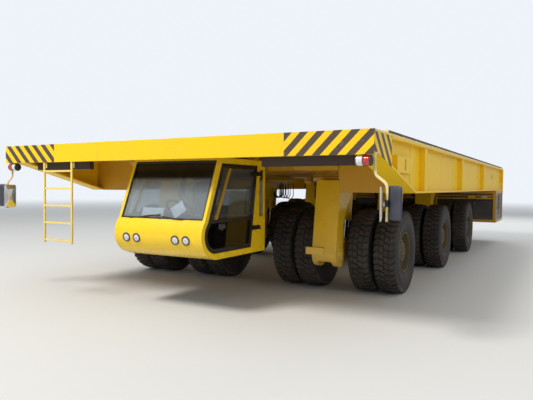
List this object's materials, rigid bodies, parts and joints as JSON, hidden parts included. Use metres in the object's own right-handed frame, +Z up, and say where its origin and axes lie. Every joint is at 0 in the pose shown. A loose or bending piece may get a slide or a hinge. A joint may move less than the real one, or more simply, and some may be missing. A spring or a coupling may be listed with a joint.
{
  "type": "self-propelled platform transporter",
  "caption": "Low platform carrier on steered pendulum bogies with twin tyres, under-slung driver's cab and rear power pack, for moving ship blocks.",
  "frame": {"origin": "on the ground under the middle of the platform", "axes": "-Y is the front, +Z is up, +X is the vehicle's own left side"},
  "size_m": [6.5498, 13.2, 2.3268],
  "materials": {
    "yellow_paint": "glossy enamel, worn",
    "cab_paint": "glossy enamel",
    "pale_paint": "glossy enamel",
    "hub_paint": "dusty enamel",
    "deck_steel": "worn enamel",
    "deck_timber": "weathered, oiled",
    "tyre_rubber": "dusty",
    "clear_glass": "tinted",
    "mirror_housing": "satin",
    "lamp_lens": "clear lens",
    "dark_trim": "satin",
    "dark_panel": "satin",
    "seat_cover": "vinyl",
    "engine_iron": "painted casting"
  },
  "bodies": {
    "root": {"cab_back_wall": "cab_paint", "cab_dash": "dark_trim", "cab_floor": "dark_trim", "cab_glass": "clear_glass", "cab_nose": "cab_paint", "cab_roof": "cab_paint", "cab_seat": "seat_cover", "cab_side_walls": "cab_paint", "cross_beams": "yellow_paint", "deck_boards": "deck_timber", "deck_plate": "deck_steel", "end_plates": "yellow_paint", "engine_block": "engine_iron", "ladder": "pale_paint", "lamps": "lamp_lens", "main_girders": "yellow_paint", "mirror_arms": "pale_paint", "mirror_heads": "mirror_housing", "power_frame": "yellow_paint", "power_panels": "dark_panel", "side_beams": "yellow_paint", "slew_rings": "yellow_paint"},
    "cab_door": {"door_frame": "dark_trim", "door_glass": "clear_glass"},
    "bogie_front_left": {"leg_front_left": "yellow_paint", "arm_front_left": "yellow_paint"},
    "wheels_front_left_outer": {"hub_front_left_outer": "hub_paint", "tyres_front_left_outer": "tyre_rubber"},
    "wheels_front_left_inner": {"hub_front_left_inner": "hub_paint", "tyres_front_left_inner": "tyre_rubber"},
    "bogie_front_right": {"leg_front_right": "yellow_paint", "arm_front_right": "yellow_paint"},
    "wheels_front_right_outer": {"hub_front_right_outer": "hub_paint", "tyres_front_right_outer": "tyre_rubber"},
    "wheels_front_right_inner": {"hub_front_right_inner": "hub_paint", "tyres_front_right_inner": "tyre_rubber"},
    "bogie_middle_left": {"leg_middle_left": "yellow_paint", "arm_middle_left": "yellow_paint"},
    "wheels_middle_left_outer": {"hub_middle_left_outer": "hub_paint", "tyres_middle_left_outer": "tyre_rubber"},
    "wheels_middle_left_inner": {"hub_middle_left_inner": "hub_paint", "tyres_middle_left_inner": "tyre_rubber"},
    "bogie_middle_right": {"leg_middle_right": "yellow_paint", "arm_middle_right": "yellow_paint"},
    "wheels_middle_right_outer": {"hub_middle_right_outer": "hub_paint", "tyres_middle_right_outer": "tyre_rubber"},
    "wheels_middle_right_inner": {"hub_middle_right_inner": "hub_paint", "tyres_middle_right_inner": "tyre_rubber"},
    "bogie_rear_left": {"leg_rear_left": "yellow_paint", "arm_rear_left": "yellow_paint"},
    "wheels_rear_left_outer": {"hub_rear_left_outer": "hub_paint", "tyres_rear_left_outer": "tyre_rubber"},
    "wheels_rear_left_inner": {"hub_rear_left_inner": "hub_paint", "tyres_rear_left_inner": "tyre_rubber"},
    "bogie_rear_right": {"leg_rear_right": "yellow_paint", "arm_rear_right": "yellow_paint"},
    "wheels_rear_right_outer": {"hub_rear_right_outer": "hub_paint", "tyres_rear_right_outer": "tyre_rubber"},
    "wheels_rear_right_inner": {"hub_rear_right_inner": "hub_paint", "tyres_rear_right_inner": "tyre_rubber"}
  },
  "joints": [
    {"name": "steer_front_left", "type": "hinge", "parent": "root", "child": "bogie_front_left", "pos_m": [1.56, -3.65, 1.82], "axis": [0, 0, 1], "range_deg": [-95, 95]},
    {"name": "roll_front_left_outer", "type": "hinge", "parent": "bogie_front_left", "child": "wheels_front_left_outer", "pos_m": [1.56, -3.65, 0.652], "axis": [1, 0, 0], "continuous": true},
    {"name": "roll_front_left_inner", "type": "hinge", "parent": "bogie_front_left", "child": "wheels_front_left_inner", "pos_m": [1.56, -3.65, 0.652], "axis": [1, 0, 0], "continuous": true},
    {"name": "steer_front_right", "type": "hinge", "parent": "root", "child": "bogie_front_right", "pos_m": [-1.56, -3.65, 1.82], "axis": [0, 0, 1], "range_deg": [-95, 95]},
    {"name": "roll_front_right_outer", "type": "hinge", "parent": "bogie_front_right", "child": "wheels_front_right_outer", "pos_m": [-1.56, -3.65, 0.652], "axis": [1, 0, 0], "continuous": true},
    {"name": "roll_front_right_inner", "type": "hinge", "parent": "bogie_front_right", "child": "wheels_front_right_inner", "pos_m": [-1.56, -3.65, 0.652], "axis": [1, 0, 0], "continuous": true},
    {"name": "steer_middle_left", "type": "hinge", "parent": "root", "child": "bogie_middle_left", "pos_m": [1.56, -0.5, 1.82], "axis": [0, 0, 1], "range_deg": [-95, 95]},
    {"name": "roll_middle_left_outer", "type": "hinge", "parent": "bogie_middle_left", "child": "wheels_middle_left_outer", "pos_m": [1.56, -0.5, 0.652], "axis": [1, 0, 0], "continuous": true},
    {"name": "roll_middle_left_inner", "type": "hinge", "parent": "bogie_middle_left", "child": "wheels_middle_left_inner", "pos_m": [1.56, -0.5, 0.652], "axis": [1, 0, 0], "continuous": true},
    {"name": "steer_middle_right", "type": "hinge", "parent": "root", "child": "bogie_middle_right", "pos_m": [-1.56, -0.5, 1.82], "axis": [0, 0, 1], "range_deg": [-95, 95]},
    {"name": "roll_middle_right_outer", "type": "hinge", "parent": "bogie_middle_right", "child": "wheels_middle_right_outer", "pos_m": [-1.56, -0.5, 0.652], "axis": [1, 0, 0], "continuous": true},
    {"name": "roll_middle_right_inner", "type": "hinge", "parent": "bogie_middle_right", "child": "wheels_middle_right_inner", "pos_m": [-1.56, -0.5, 0.652], "axis": [1, 0, 0], "continuous": true},
    {"name": "steer_rear_left", "type": "hinge", "parent": "root", "child": "bogie_rear_left", "pos_m": [1.56, 2.65, 1.82], "axis": [0, 0, 1], "range_deg": [-95, 95]},
    {"name": "roll_rear_left_outer", "type": "hinge", "parent": "bogie_rear_left", "child": "wheels_rear_left_outer", "pos_m": [1.56, 2.65, 0.652], "axis": [1, 0, 0], "continuous": true},
    {"name": "roll_rear_left_inner", "type": "hinge", "parent": "bogie_rear_left", "child": "wheels_rear_left_inner", "pos_m": [1.56, 2.65, 0.652], "axis": [1, 0, 0], "continuous": true},
    {"name": "steer_rear_right", "type": "hinge", "parent": "root", "child": "bogie_rear_right", "pos_m": [-1.56, 2.65, 1.82], "axis": [0, 0, 1], "range_deg": [-95, 95]},
    {"name": "roll_rear_right_outer", "type": "hinge", "parent": "bogie_rear_right", "child": "wheels_rear_right_outer", "pos_m": [-1.56, 2.65, 0.652], "axis": [1, 0, 0], "continuous": true},
    {"name": "roll_rear_right_inner", "type": "hinge", "parent": "bogie_rear_right", "child": "wheels_rear_right_inner", "pos_m": [-1.56, 2.65, 0.652], "axis": [1, 0, 0], "continuous": true},
    {"name": "door_swing", "type": "hinge", "parent": "root", "child": "cab_door", "pos_m": [0.8, -5.148, 1.45], "axis": [0, 0, 1], "range_deg": [0, 95]}
  ]
}
